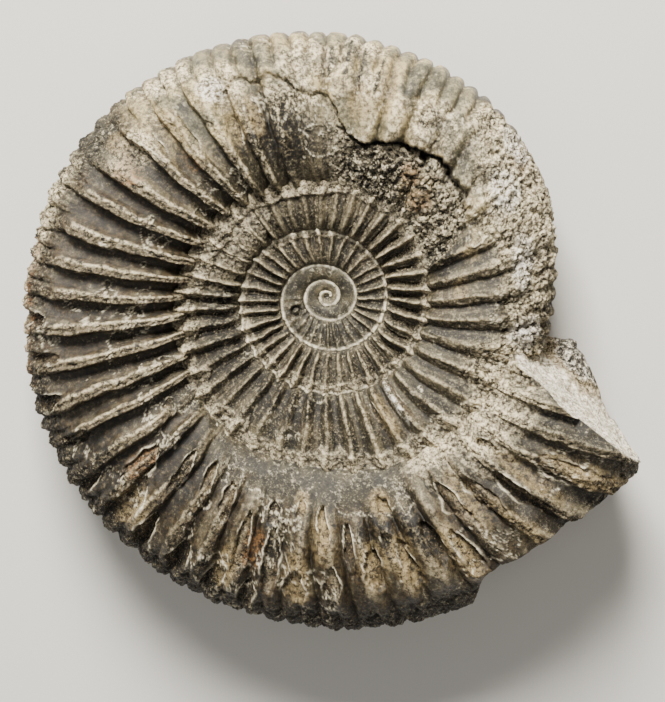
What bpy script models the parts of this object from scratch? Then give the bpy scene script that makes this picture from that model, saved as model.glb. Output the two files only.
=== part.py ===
# A fossil ammonite, Dactylioceras semicelatum: a ribbed coil turned to stone, broken off at its wide end.
# It is one piece of stone. It lies on the worn ribs of its lower side, with the coil's axis close to upright.
# Lengths are in millimetres, and the mesh is in metres.

import math

import bmesh
import bpy
import numpy as np

MM = 0.001

# How the coil is measured. An angle runs anticlockwise as seen from above and goes on past 360 from whorl to
# whorl, growing outwards. A station runs round the whorl's section: 0 is the upper seam with the whorl inside
# it, 1 the top of the upper side, 2 the outer rim, 3 the lowest of the lower side and 4 the lower seam.
WHORL = 360.0
UPPER_SIDE = 1.0
RIM = 2.0
LOWER_SEAM = 4.0

# Radius of the seam, as angle and mm
SEAM_RADIUS = (
    (-720, 0.7), (-540, 1.2), (-360, 1.9), (-270, 2.5), (-180, 3.3), (-90, 3.6), (0, 4.4), (90, 4.8),
    (180, 6.5), (270, 7.6), (360, 8.8), (450, 9.8), (540, 12.1), (630, 13.6), (720, 14.7), (810, 16.7),
    (870, 19.3), (900, 20.6), (960, 23.3), (990, 23.7), (1035, 26.4), (1080, 28.8),
)

# Radius of the rim between ribs along the last whorl, as angle and mm
RIM_RADIUS = (
    (700, 31.2), (720, 32.2), (750, 34.5), (765, 35.6), (795, 36.4), (825, 37.9), (855, 40.1), (885, 42.5),
    (915, 44.7), (945, 46.8), (975, 47.9), (1005, 49.0), (1035, 50.2), (1080, 51.8),
)

# Half of the whorl's thickness between ribs, as angle and mm
HALF_THICKNESS = ((-735, 0.85), (-375, 1.4), (-15, 2.5), (345, 4.3), (705, 7.6), (885, 9.7), (1065, 12.0))

LAST_WHORL_START = 705.0
BREAK_ANGLE = LAST_WHORL_START + WHORL
TOP_SHARE = 0.45       # where the upper side is highest, from the seam to the rim
COVERED_REACH = 0.717  # how far out the next whorl's seam lies on an inner whorl, from its seam to its rim
SEAM_SHARE = 0.9       # height of the seam against the top of the whorl that it lies on
FULLNESS = 0.87        # under 1 fills the shoulders out beyond an ellipse

# Angles of valleys between ribs, with the number of ribs up to each
VALLEYS = (
    (-193, 0), (-4.5, 17), (139, 29), (238.5, 39), (348.5, 50), (367, 52), (397, 55), (476, 64), (527, 70),
    (549, 73), (599.5, 79), (680.5, 88), (718, 92), (746, 95), (851, 107), (859.5, 108), (869.3, 109),
    (876.7, 110), (886, 111), (893.4, 112), (900.5, 113), (908.3, 114), (916, 115), (923.8, 116), (930, 117),
    (938, 118), (944.8, 119), (952.8, 120), (960.3, 121), (1034.7, 132), (1054.5, 135), (1081.5, 139),
)

# Height of the ribs above the valleys, as angle and mm
RIB_HEIGHT = (
    (-193, 0.0), (-120, 0.16), (180, 0.32), (540, 0.62), (720, 0.85), (900, 1.15), (1080, 1.35),
)

# How far a rib leans forward from seam to shoulder, as angle and degrees
RIB_LEAN = (
    (-193, 0), (620, 1), (690, 5), (760, 6), (820, 2), (860, 0.5), (960, 0.5), (1000, 3), (1040, 6),
    (1080, 6),
)
LEAN_STEPS = 3

# A rib's widths and spread as shares of the rib spacing, and the stations between which it forks and fades in
RIB_HALF_WIDTH = 0.38
BRANCH_HALF_WIDTH = 0.22
BRANCH_SPREAD = 0.25
BRANCH_HEIGHT = 0.62     # of the rib's height
FORK_STATIONS = (1.25, 1.6)
FADE_STATIONS = (-0.1, 0.4)

# Places where the ribs are worn: angle, its half span, station, its half span, share of the height left
WORN = ((775, 34, 0.45, 0.75, 0.25), (822, 14, 1.75, 0.5, 0.45))

# Rock that still clings to the shell and fills it up between the ribs: angle, its half span, station, its
# half span, height. The last one is under the wide end, worn to a small flat that the fossil rests on.
ROCK = (
    (510, 22, 1.0, 0.6, 0.5), (1040, 22, 0.25, 0.45, 0.9), (752, 16, 1.6, 0.5, 0.7), (1048, 8, 3.05, 0.5, 1.4),
)
PATCH_EDGE = (0.7, 1.3)  # a patch thins out between these shares of its half span

# The broken end: the angle where the shell stops at each station
BREAK_EDGE = (
    (0.0, 1067), (0.6, 1062), (1.0, 1058), (1.5, 1054.5), (2.0, 1053), (2.4, 1055.5), (2.9, 1061.5),
    (3.3, 1065), (4.0, 1068),
)

# The rim is broken away short of the end. Radius left, as angle and mm, and how much it draws in per mm below
# the middle of the whorl
CHIPPED_RIM = (
    (1010, 60), (1014, 52), (1018, 47.2), (1025, 44.6), (1030, 45.4), (1035, 45.8), (1042, 47.2),
    (1049, 49.4), (1053, 50.6), (1055, 46.8), (1058, 44.2), (1064, 42.6), (1070, 40.0),
)
UNDERCUT = 0.55
CHIPPED_BELOW = 3.2

# The rock that fills the broken end bulges out of it, and more so from a little above the middle downwards
END_MIDDLE = (36.0, -3.5)
BULGE = 0.4
BULGE_BELOW = 1.9
BULGE_DEPTHS = (-2.0, 8.0)
END_RINGS = 4

# The first chamber at the middle of the coil
FIRST_CHAMBER = (-0.25, 0.1, 1.0)

# How it lies: the coil leans by a little so that its lower side is level, and the lowest ribs are worn flat
LEAN_DEG = 2.4
LEAN_TOWARDS_DEG = 135.0
LIFT = 11.34
AXIS_OFFSET = (-0.36, 5.88)

SAME_POINT = 2e-6  # metres: points past the broken end fall on its edge and are merged

# Stations of the rows of faces, from seam to seam, and how many of them an inner whorl shows on each side
STATIONS = (0.08, 0.35, 0.65, 0.95, 1.25, 1.5, 1.74, 2.0, 2.26, 2.54, 2.84, 3.05, 3.26, 3.6, 3.92)
SHOWN = 5

SMOOTH_WHORL_START = -720.0
SMOOTH_WHORL_STEP = 24.0
COLUMNS_PER_RIB_INSIDE = 2
COLUMNS_PER_RIB_OUTSIDE = 4
SLOPE_STEP = 0.02  # of a station, to find which way the surface faces


def curve(points, x):
    """A smooth curve through hand-set points."""
    xs, ys = np.array(points, float).T
    slopes = np.gradient(ys, xs)
    x = np.clip(x, xs[0], xs[-1])
    k = np.clip(np.searchsorted(xs, x) - 1, 0, len(xs) - 2)
    span = xs[k + 1] - xs[k]
    u = (x - xs[k]) / span
    start = (1 + 2 * u) * (1 - u) ** 2 * ys[k] + u * (1 - u) ** 2 * span * slopes[k]
    end = u * u * (3 - 2 * u) * ys[k + 1] + u * u * (u - 1) * span * slopes[k + 1]
    return start + end


def rise(x, low, high):
    """0 below low, 1 above high and smooth between."""
    u = np.clip((x - low) / (high - low), 0.0, 1.0)
    return u * u * (3 - 2 * u)


def near_side(station):
    """The station counted from the nearer seam, so that both sides share one formula."""
    return np.minimum(station, LOWER_SEAM - station)


def rib_number(angle):
    angles, counts = np.array(VALLEYS, float).T
    return np.interp(angle, angles, counts)


def rib_angle(number):
    angles, counts = np.array(VALLEYS, float).T
    return np.interp(number, counts, angles)


def lean(at, station):
    return curve(RIB_LEAN, at) * rise(near_side(station), 0.0, RIM)


def along_rib(angle, station):
    """Where the rib line that starts at this angle at the seam has got to, short of the broken end."""
    at = angle
    for _ in range(LEAN_STEPS):
        at = angle + lean(at, station)
    return np.minimum(at, curve(BREAK_EDGE, station))


def section(angle, station):
    """Radius and height of the whorl without its ribs."""
    seam = curve(SEAM_RADIUS, angle)
    half = curve(HALF_THICKNESS, angle)
    covered = seam + (curve(SEAM_RADIUS, angle + WHORL) - seam) / COVERED_REACH
    rim = np.where(angle < LAST_WHORL_START, covered, curve(RIM_RADIUS, angle))
    top = seam + TOP_SHARE * (rim - seam)
    foot = SEAM_SHARE * curve(HALF_THICKNESS, angle - WHORL)
    side = near_side(station)
    wall = np.clip(side, 0, UPPER_SIDE) * math.pi / 2
    shoulder = np.clip(side - UPPER_SIDE, 0, 1) * math.pi / 2
    inside = side < UPPER_SIDE
    across = top + (rim - top) * np.sin(shoulder) ** FULLNESS
    radius = np.where(inside, top - (top - seam) * np.cos(wall), across)
    down = half * np.maximum(np.cos(shoulder), 0.0) ** FULLNESS
    height = np.where(inside, foot + (half - foot) * np.sin(wall), down)
    return radius, np.where(station > RIM, -height, height)


def outward(angle, station):
    """The direction straight out of the section, as its radial and its upward part."""
    r1, z1 = section(angle, np.maximum(station - SLOPE_STEP, 0.0))
    r2, z2 = section(angle, np.minimum(station + SLOPE_STEP, LOWER_SEAM))
    length = np.hypot(r2 - r1, z2 - z1)
    return (z1 - z2) / length, (r2 - r1) / length


def patch(angle, station, middle, span, where, reach):
    """1 inside an oval patch of the shell, 0 outside it and smooth between."""
    distance = np.hypot((angle - middle) / span, (station - where) / reach)
    return 1 - rise(distance, *PATCH_EDGE)


def rib_left(angle, station):
    """The share of a rib's height that wear has left."""
    left = 1.0
    for *place, share in WORN:
        left = left * (1 - (1 - share) * patch(angle, station, *place))
    return left


def rock(angle, station):
    """Height of the rock that clings to the shell."""
    height = 0.0
    for *place, top in ROCK:
        height = np.maximum(height, top * patch(angle, station, *place))
    return height


def rib(at, station):
    """Height of the ribs: one ridge on the side of the whorl, forked in two over the rim."""
    side = near_side(station)
    forked = rise(side, *FORK_STATIONS)
    number = rib_number(at - lean(at, station))
    across = np.abs(number - np.floor(number) - 0.5)
    half_width = RIB_HALF_WIDTH + (BRANCH_HALF_WIDTH - RIB_HALF_WIDTH) * forked
    distance = np.abs(across - BRANCH_SPREAD * forked) / half_width
    ridge = np.cos(math.pi / 2 * np.minimum(distance, 1.0)) ** 2
    height = curve(RIB_HEIGHT, at) * (1 - (1 - BRANCH_HEIGHT) * forked)
    return height * ridge * rise(side, *FADE_STATIONS) * rib_left(at, station)


def coil_point(angle, station):
    """A point of the coil in mm, on the rib line that starts at this angle at the seam."""
    at = along_rib(angle, station)
    radius, height = section(at, station)
    out, up = outward(at, station)
    ridge = np.maximum(rib(at, station), rock(at, station))
    radius = radius + out * ridge
    height = height + up * ridge
    limit = curve(CHIPPED_RIM, at) - UNDERCUT * np.maximum(-height, 0.0)
    chipped = (at > CHIPPED_RIM[0][0]) & (station > UPPER_SIDE) & (station < CHIPPED_BELOW)
    radius = np.where(chipped, np.minimum(radius, limit), radius)
    turn = np.radians(at)
    return np.stack([radius * np.cos(turn), radius * np.sin(turn), height], axis=-1)


def column_angles():
    """Angles of the columns of points: a few round the smooth first whorls, then in step with the ribs."""
    smooth = np.arange(SMOOTH_WHORL_START, VALLEYS[0][0] - SMOOTH_WHORL_STEP / 2, SMOOTH_WHORL_STEP)
    last_whorl = round(float(rib_number(LAST_WHORL_START)))
    inside = np.arange(0, last_whorl, 1 / COLUMNS_PER_RIB_INSIDE)
    outside = np.arange(last_whorl, rib_number(BREAK_ANGLE) + 0.01, 1 / COLUMNS_PER_RIB_OUTSIDE)
    ribbed = rib_angle(np.concatenate([inside, outside]))
    return np.concatenate([smooth, ribbed])


def lay_down(points):
    """Turns the coil on to its lower side, wears off what would reach below the surface, and gives metres."""
    tilt = math.radians(LEAN_DEG)
    turn = math.radians(LEAN_TOWARDS_DEG)
    axis = np.array([-math.sin(turn), math.cos(turn), 0.0])
    cross = np.cross(axis, points)
    along = (points @ axis)[:, None] * axis
    points = points * math.cos(tilt) + cross * math.sin(tilt) + along * (1 - math.cos(tilt))
    points = points + np.array([AXIS_OFFSET[0], AXIS_OFFSET[1], LIFT])
    points[:, 2] = np.maximum(points[:, 2], 0.0)
    return points * MM


def zip_rows(inner, outer, angle_of):
    """Triangles between two rows of points that follow one seam, each in order of angle."""
    faces = []
    i = j = 0
    while i < len(inner) - 1 or j < len(outer) - 1:
        step_inner = j == len(outer) - 1
        if not step_inner and i < len(inner) - 1:
            step_inner = angle_of[inner[i + 1]] <= angle_of[outer[j + 1]]
        if step_inner:
            faces.append((inner[i], inner[i + 1], outer[j]))
            i += 1
        else:
            faces.append((inner[i], outer[j + 1], outer[j]))
            j += 1
    return faces


def grid_faces(columns, rows, index):
    """Two triangles for each cell of the grid between these columns and rows."""
    faces = []
    for i, j in ((i, j) for i in columns for j in rows):
        a, b, c, d = index[i, j], index[i + 1, j], index[i + 1, j + 1], index[i, j + 1]
        faces += [(a, b, c), (a, c, d)]
    return faces


def end_cap(points, rim):
    """Rings of points that close the broken end, and their triangles. The rim is a loop of indices."""
    edge = points[rim]
    radius = np.hypot(edge[:, 0], edge[:, 1])
    turn = np.unwrap(np.arctan2(edge[:, 1], edge[:, 0]))
    added, faces = [], []
    previous, first = list(rim), len(points)
    for inwards in np.arange(1, END_RINGS) / END_RINGS:
        r = radius + (END_MIDDLE[0] - radius) * inwards
        z = edge[:, 2] + (END_MIDDLE[1] - edge[:, 2]) * inwards
        reach = (BULGE + BULGE_BELOW * rise(-z, *BULGE_DEPTHS)) * math.sin(math.pi / 2 * inwards)
        a = turn + (turn.mean() - turn) * inwards + reach / r
        added += list(np.stack([r * np.cos(a), r * np.sin(a), z], axis=-1))
        current = [first + k for k in range(len(rim))]
        first += len(rim)
        faces += ring_faces(previous, current)
        previous = current
    a = turn.mean() + (BULGE + BULGE_BELOW / 2) / END_MIDDLE[0]
    added.append(np.array([END_MIDDLE[0] * math.cos(a), END_MIDDLE[0] * math.sin(a), END_MIDDLE[1]]))
    faces += [(previous[k - 1], previous[k], first) for k in range(len(rim))]
    return np.array(added), faces


def ring_faces(outer, inner):
    faces = []
    for k in range(len(outer)):
        a, b, c, d = outer[k - 1], outer[k], inner[k], inner[k - 1]
        faces += [(a, b, c), (a, c, d)]
    return faces


def coil_faces(index, last_start):
    """Faces of the upper and lower sides of every whorl, and of the rim of the last one."""
    count, rows = index.shape
    faces = grid_faces(range(count - 1), range(SHOWN - 1), index)
    faces += grid_faces(range(count - 1), range(rows - SHOWN, rows - 1), index)
    return faces + grid_faces(range(last_start, count - 1), range(SHOWN - 1, rows - SHOWN), index)


def seam_faces(index, turned, last_start, second):
    """Faces that join the outermost row shown of each whorl to the seam of the next."""
    rows = index.shape[1]
    faces = []
    for outside, seam in ((SHOWN - 1, 0), (rows - SHOWN, rows - 1)):
        inner = list(index[: last_start + 1, outside])
        outer = list(index[second:, seam])
        angle_of = {k: turned[k] + WHORL for k in inner} | {k: turned[k] for k in outer}
        faces += zip_rows(inner, outer, angle_of)
    return faces


def centre(index, second, first_new):
    """A point over the first chamber on each side, and the fans of faces round them."""
    rows = index.shape[1]
    middles, faces = [], []
    for side, seam, outside, step in ((1, 0, SHOWN, 1), (-1, rows - 1, rows - 1 - SHOWN, -1)):
        start = [index[0, j] for j in range(seam, outside, step)]
        loop = list(index[: second + 1, seam]) + start[:0:-1]
        middle = first_new + len(middles)
        middles.append((FIRST_CHAMBER[0], FIRST_CHAMBER[1], side * FIRST_CHAMBER[2]))
        faces += [(loop[k - 1], loop[k], middle) for k in range(len(loop))]
    return np.array(middles), faces


def shell_mesh():
    """All points of the fossil in mm and its triangles."""
    angles = column_angles()[:, None]
    stations = np.array(STATIONS)[None, :]
    points = coil_point(angles, stations).reshape(-1, 3)
    turned = along_rib(angles, stations).reshape(-1)
    index = np.arange(len(points)).reshape(len(angles), -1)
    last_start = int(np.argmin(np.abs(angles - LAST_WHORL_START)))
    second = int(np.argmin(np.abs(angles - SMOOTH_WHORL_START - WHORL)))
    faces = coil_faces(index, last_start) + seam_faces(index, turned, last_start, second)
    middles, fans = centre(index, second, len(points))
    points = np.concatenate([points, middles])
    covered = index[last_start, SHOWN - 1 : 1 - SHOWN]
    added, cap = end_cap(points, list(index[-1]) + list(covered[::-1]))
    return np.concatenate([points, added]), faces + fans + cap


def stone(name):
    """Fossil shell and mudstone: grey-brown, dull with a slight polish."""
    material = bpy.data.materials.new(name)
    material.use_nodes = True
    shader = material.node_tree.nodes["Principled BSDF"]
    shader.inputs["Base Color"].default_value = (0.13, 0.11, 0.085, 1.0)
    shader.inputs["Roughness"].default_value = 0.62
    shader.inputs["Metallic"].default_value = 0.0
    return material


def make_ammonite(collection):
    """The coil is a loft whose section and ribs change all the way along, so its faces are made here."""
    points, faces = shell_mesh()
    mesh = bpy.data.meshes.new("ammonite")
    mesh.from_pydata(lay_down(points).tolist(), [], faces)
    model = bmesh.new()
    model.from_mesh(mesh)
    bmesh.ops.remove_doubles(model, verts=model.verts, dist=SAME_POINT)
    bmesh.ops.recalc_face_normals(model, faces=model.faces)
    model.to_mesh(mesh)
    model.free()
    ammonite = bpy.data.objects.new("ammonite", mesh)
    ammonite.data.materials.append(stone("fossil shell"))
    collection.objects.link(ammonite)
    return ammonite


def main():
    for thing in list(bpy.data.objects):
        bpy.data.objects.remove(thing)
    collection = bpy.data.collections.new("dactylioceras ammonite fossil")
    bpy.context.scene.collection.children.link(collection)
    make_ammonite(collection)


main()
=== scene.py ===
# A fossil ammonite, Dactylioceras semicelatum: the ribbed coil of a shell turned to grey-brown stone, with
# pale rock left in its seams, flaked ribs and a broken wide end. Lengths are in millimetres, and meshes in
# metres.

import math
from types import SimpleNamespace

import bmesh
import bpy
import numpy as np
from mathutils import Matrix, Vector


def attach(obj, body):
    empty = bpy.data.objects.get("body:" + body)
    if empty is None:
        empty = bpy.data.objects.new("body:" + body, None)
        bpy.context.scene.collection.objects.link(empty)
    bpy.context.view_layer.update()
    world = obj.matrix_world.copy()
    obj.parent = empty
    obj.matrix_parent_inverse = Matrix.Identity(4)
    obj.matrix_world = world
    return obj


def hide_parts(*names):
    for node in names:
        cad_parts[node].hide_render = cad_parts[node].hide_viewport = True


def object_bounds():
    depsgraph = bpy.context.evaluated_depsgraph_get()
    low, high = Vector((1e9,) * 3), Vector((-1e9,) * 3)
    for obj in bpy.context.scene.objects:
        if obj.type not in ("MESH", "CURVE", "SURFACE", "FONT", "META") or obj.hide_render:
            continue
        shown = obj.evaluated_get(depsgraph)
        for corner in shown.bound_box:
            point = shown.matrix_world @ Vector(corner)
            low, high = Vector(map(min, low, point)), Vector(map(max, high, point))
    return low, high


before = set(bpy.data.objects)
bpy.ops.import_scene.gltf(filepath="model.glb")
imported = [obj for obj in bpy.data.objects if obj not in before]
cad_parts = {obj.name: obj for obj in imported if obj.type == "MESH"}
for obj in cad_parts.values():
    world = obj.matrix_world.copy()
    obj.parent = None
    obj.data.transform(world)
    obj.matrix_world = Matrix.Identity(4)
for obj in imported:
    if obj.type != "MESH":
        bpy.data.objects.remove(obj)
CAD_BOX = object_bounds()

MM = 0.001

# The coil is measured as in its solid. An angle runs anticlockwise as seen from above and goes on past 360
# from whorl to whorl. A station runs round the whorl's section: 0 is the upper seam, 1 the top of the upper
# side, 2 the outer rim, 3 the lowest of the lower side and 4 the lower seam.
WHORL = 360.0
UPPER_SIDE = 1.0
RIM = 2.0
LOWER_SEAM = 4.0
LAST_WHORL_START = 705.0
COIL_START = -1080.0

# Radius of the seam, as angle and mm
SEAM_RADIUS = (
    (-1080, 0.22), (-900, 0.4), (-720, 0.7), (-540, 1.2), (-360, 1.9), (-270, 2.5), (-180, 3.3), (-90, 3.6),
    (0, 4.4), (90, 4.8), (180, 6.5), (270, 7.6), (360, 8.8), (450, 9.8), (540, 12.1), (630, 13.6),
    (720, 14.7), (810, 16.7), (870, 19.3), (900, 20.6), (960, 23.3), (990, 23.7), (1035, 26.4),
    (1080, 28.8),
)

# Radius of the rim between ribs along the last whorl, as angle and mm
RIM_RADIUS = (
    (700, 31.2), (720, 32.2), (750, 34.5), (765, 35.6), (795, 36.4), (825, 37.9), (855, 40.1), (885, 42.5),
    (915, 44.7), (945, 46.8), (975, 47.9), (1005, 49.0), (1035, 50.2), (1080, 51.8),
)

# Half of the whorl's thickness between ribs, as angle and mm
HALF_THICKNESS = (
    (-1095, 0.5), (-735, 0.85), (-375, 1.4), (-15, 2.5), (345, 4.3), (705, 7.6), (885, 9.7), (1065, 12.0),
)
TOP_SHARE = 0.45  # where the upper side is highest, from the seam to the rim
COVERED_REACH = 0.717  # how far out the next whorl's seam lies on an inner whorl, from its seam to its rim
SEAM_SHARE = 0.9  # height of the seam against the top of the whorl that it lies on
FULLNESS = 0.87  # under 1 fills the shoulders out beyond an ellipse
SLOPE_STEP = 0.02  # of a station, to find which way the surface faces

# Angles of valleys between ribs, with the number of ribs up to each
VALLEYS = (
    (-193, 0), (-4.5, 17), (139, 29), (238.5, 39), (348.5, 50), (367, 52), (397, 55), (476, 64), (527, 70),
    (549, 73), (599.5, 79), (680.5, 88), (718, 92), (746, 95), (851, 107), (859.5, 108), (869.3, 109),
    (876.7, 110), (886, 111), (893.4, 112), (900.5, 113), (908.3, 114), (916, 115), (923.8, 116), (930, 117),
    (938, 118), (944.8, 119), (952.8, 120), (960.3, 121), (1034.7, 132), (1054.5, 135), (1081.5, 139),
)

# Height of the ribs above the shell, as angle and mm
RIB_HEIGHT = (
    (-193, 0.0), (-120, 0.2), (0, 0.34), (180, 0.46), (360, 0.6), (540, 0.76), (720, 0.9), (900, 1.15),
    (1080, 1.35),
)

# How far a rib leans forward from seam to rim, as angle and degrees
RIB_LEAN = (
    (-193, 0), (620, 1), (690, 5), (760, 6), (820, 2), (860, 0.5), (960, 0.5), (1000, 3), (1040, 6),
    (1080, 6),
)
BRANCHES = 2
BRANCH_HEIGHT = 0.62  # of the rib's height
FORK_STATIONS = (1.25, 1.6)
LAST_FORKS = (1026, 1034)  # angles between which ribs stop forking

# The broken end: the angle where the shell stops at each station
BREAK_EDGE = (
    (0.0, 1067), (0.6, 1062), (1.0, 1058), (1.5, 1054.5), (2.0, 1053), (2.4, 1055.5), (2.9, 1061.5),
    (3.3, 1065), (4.0, 1068),
)

# The rim is broken away short of the end. Radius left, as angle and mm, how much it draws in per mm below the
# middle of the whorl, and how ragged and grainy the broken face is in mm
CHIPPED_RIM = (
    (1010, 60), (1014, 52), (1018, 47.2), (1025, 44.6), (1030, 45.4), (1035, 45.8), (1042, 47.2),
    (1049, 49.4), (1053, 50.6), (1055, 46.8), (1058, 44.2), (1064, 42.6), (1070, 40.0),
)
UNDERCUT = 0.55
CHIPPED_BELOW = 3.2
CHIP_RAGGED = 0.8
CHIP_GRAIN = 0.25
CHIP_FACE = (0.0, 0.2)

# The rock that fills the broken end bulges out of it, and more so from a little above the middle downwards
END_MIDDLE = (36.0, -3.5)
BULGE = 0.4
BULGE_BELOW = 1.9
BULGE_DEPTHS = (-2.0, 8.0)
END_GRAIN_HEIGHT = 0.9
END_SWELL_HEIGHT = 0.7
END_SET_BACK = 0.2
EDGE_BLEND = 5.0  # the end's relief is whole from a fifth of the way in from its edge

# The chunk of dark rock that stands out of the broken end: the radius and height of its middle, its reach
# across and up, how far it stands out in mm, and where dark stone, a rusty edge and white spots show on it
CHUNK_MIDDLE = (37.8, -6.5)
CHUNK_REACH = (4.2, 4.5)
CHUNK_OUT = 3.0
CHUNK_RAGGED = 0.25
CHUNK_DARK = (0.16, 0.26)
CHUNK_RUST = (0.06, 0.14)
CHUNK_RUST_ENDS = (0.24, 0.4)
CHUNK_SPOTTED = (0.15, 0.3)
WHITE_SPOT = (0.35, 0.5)
DARK_ROCK_TOP = (-4.0, -1.0)
DARK_ROCK_RAGGED = 1.5

# How it lies, as in its solid
LEAN_DEG = 2.4
LEAN_TOWARDS_DEG = 135.0
LIFT = 11.34
AXIS_OFFSET = (-0.36, 5.88)

# How fine the mesh is made before its flat parts are thinned out: mm between columns, and rows from one
# station to the next. The inner whorls' columns are closer together by a share.
FULL_STEP = 0.18
INNER_SHARE = 0.75
ROWS = ((0.02, 1.3, 100), (1.3, 2.1, 60), (2.1, 2.6, 26), (2.6, 3.98, 56))
SHOWN_REACH = 1.3
END_RINGS = 50
MOST_TRIANGLES = 660000
LEAST_RADIUS = 1.2
SAME_PLACE = 0.001
CENTRE_HEIGHT = 0.5

# The pieces that the fossil is shown in, as a name and the angles where each starts and ends
STRETCHES = (
    ("inner_whorls", -2000, 706), ("last_whorl_start", 706, 847), ("last_whorl_middle", 847, 966),
    ("broken_end", 966, 2000),
)


def curve(points, x):
    """A smooth curve through given points."""
    xs, ys = np.array(points, float).T
    slopes = np.gradient(ys, xs)
    x = np.clip(x, xs[0], xs[-1])
    k = np.clip(np.searchsorted(xs, x) - 1, 0, len(xs) - 2)
    span = xs[k + 1] - xs[k]
    u = (x - xs[k]) / span
    start = (1 + 2 * u) * (1 - u) ** 2 * ys[k] + u * (1 - u) ** 2 * span * slopes[k]
    end = u * u * (3 - 2 * u) * ys[k + 1] + u * u * (u - 1) * span * slopes[k + 1]
    return start + end


def rise(x, low, high):
    """0 below low, 1 above high and smooth between."""
    u = np.clip((x - low) / (high - low), 0.0, 1.0)
    return u * u * (3 - 2 * u)


def near_side(station):
    """The station counted from the nearer seam, so that both sides share one formula."""
    return np.minimum(station, LOWER_SEAM - station)


# Large numbers and shifts that stir the whole numbers of a cell into a random one
CELL_FACTORS = (73856093, 19349663, 83492791)
PATTERN_FACTOR = 2654435
PATTERN_START = 97
STIR = ((13, 1274126177), (15, 668265263))
LAST_SHIFT = 14
STIR_BITS = 0x7FFFFFFF
RESULT_BITS = 0xFFFFF

# Random patterns: size of the humps in mm, the number that picks the pattern, layers of finer and finer
# humps, and the share of the height that is left from one layer to the next
RAGGED = (4.0, 11, 5, 0.55)
FINE_HUMPS = (1.2, 41, 3, 0.8)
COARSE_HUMPS = (4.0, 51, 3, 0.55)
TORN = (2.2, 45, 3, 0.55)
CHIPS = (1.4, 49, 3, 0.55)
SHEET_TEETH = (1.6, 47, 3, 0.55)
PLATES = (5.5, 91, 6, 0.58)
END_GRAIN = (2.6, 71, 5, 0.65)
END_SWELL = (7.0, 81, 2, 0.55)
DARK_ROCK_EDGE = (4.0, 95, 4, 0.55)
CHUNK_EDGE = (2.5, 97, 4, 0.55)
WHITE_SPOTS = (1.6, 99, 4, 0.55)

# Streaks along the ribs, in the same way but per rib and per station: how many cross a rib, and how many
# one has
STREAKS = (1.0, 25, 4, 0.7)
STREAKS_ACROSS = 7.0
STREAKS_ALONG = 1.3

# Packed lumps: size in mm and the number that picks the pattern
BIG_LUMPS = (1.7, 61)
SMALL_LUMPS = (0.8, 65)
LUMP_BEND_SIZE = 2.2  # lumps are bent by humps of this many times their size
LUMP_BEND_PATTERN = 5
LUMP_BEND_LAYERS = (3, 0.55)
LUMP_BEND = 1.1
LUMP_GAP = (0.0, 0.3)
LUMP_RAGGED = 0.15
LUMP_LEVEL = 0.4
LUMP_GAP_DEPTH = 0.6
LEAST_SHARE = 0.01
FURTHEST = 9.0  # beyond any lump's middle, in lumps


def scatter(cells, pattern):
    """One fixed random number from 0 to 1 for each whole-numbered cell."""
    n = pattern * PATTERN_FACTOR + PATTERN_START
    for k, factor in enumerate(CELL_FACTORS):
        n = n ^ cells[..., k] * factor
    for shift, factor in STIR:
        n = (n ^ (n >> shift)) * factor & STIR_BITS
    return ((n ^ (n >> LAST_SHIFT)) & RESULT_BITS) / RESULT_BITS


def swell(points, size, pattern):
    """Smooth random heights from -1 to 1 with humps about this size in mm."""
    p = points / size
    cell = np.floor(p).astype(np.int64)
    u = p - cell
    u = u * u * (3 - 2 * u)
    total = 0.0
    for corner in np.ndindex(2, 2, 2):
        share = np.prod(np.where(corner, u, 1 - u), axis=-1)
        total = total + share * scatter(cell + np.array(corner), pattern)
    return total * 2 - 1


def rough(points, size, pattern, layers, fall):
    """Random heights with finer and finer humps on the coarse ones, from about -1 to 1."""
    total, most = 0.0, 0.0
    for layer in range(layers):
        total = total + fall**layer * swell(points, size / 2**layer, pattern + layer)
        most += fall**layer
    return total / most


def lumps(points, size, pattern):
    """Packed lumps of about this size in mm: room to the next lump, and a random number for each lump."""
    p = points / size
    cell = np.floor(p).astype(np.int64)
    nearest = np.full(len(points), FURTHEST)
    second = np.full(len(points), FURTHEST)
    number = np.zeros(len(points))
    for step in np.ndindex(3, 3, 3):
        near = cell + np.array(step) - 1
        middle = near + np.stack([scatter(near, pattern + k) for k in range(3)], axis=-1)
        away = np.linalg.norm(p - middle, axis=-1)
        closer = away < nearest
        second = np.where(closer, nearest, np.minimum(second, away))
        number = np.where(closer, scatter(near, pattern + 3), number)
        nearest = np.where(closer, away, nearest)
    return second - nearest, number


def rib_number(angle):
    """How many ribs there are up to this angle."""
    angles, counts = np.array(VALLEYS, float).T
    return np.interp(angle, angles, counts)


def section(angle, station):
    """Radius and height of the whorl without its ribs."""
    seam = curve(SEAM_RADIUS, angle)
    half = curve(HALF_THICKNESS, angle)
    covered = seam + (curve(SEAM_RADIUS, angle + WHORL) - seam) / COVERED_REACH
    rim = np.where(angle < LAST_WHORL_START, covered, curve(RIM_RADIUS, angle))
    top = seam + TOP_SHARE * (rim - seam)
    foot = SEAM_SHARE * curve(HALF_THICKNESS, angle - WHORL)
    side = near_side(station)
    wall = np.clip(side, 0, UPPER_SIDE) * math.pi / 2
    shoulder = np.clip(side - UPPER_SIDE, 0, 1) * math.pi / 2
    inside = side < UPPER_SIDE
    across = top + (rim - top) * np.sin(shoulder) ** FULLNESS
    radius = np.where(inside, top - (top - seam) * np.cos(wall), across)
    down = half * np.maximum(np.cos(shoulder), 0.0) ** FULLNESS
    height = np.where(inside, foot + (half - foot) * np.sin(wall), down)
    return radius, np.where(station > RIM, -height, height)


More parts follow.
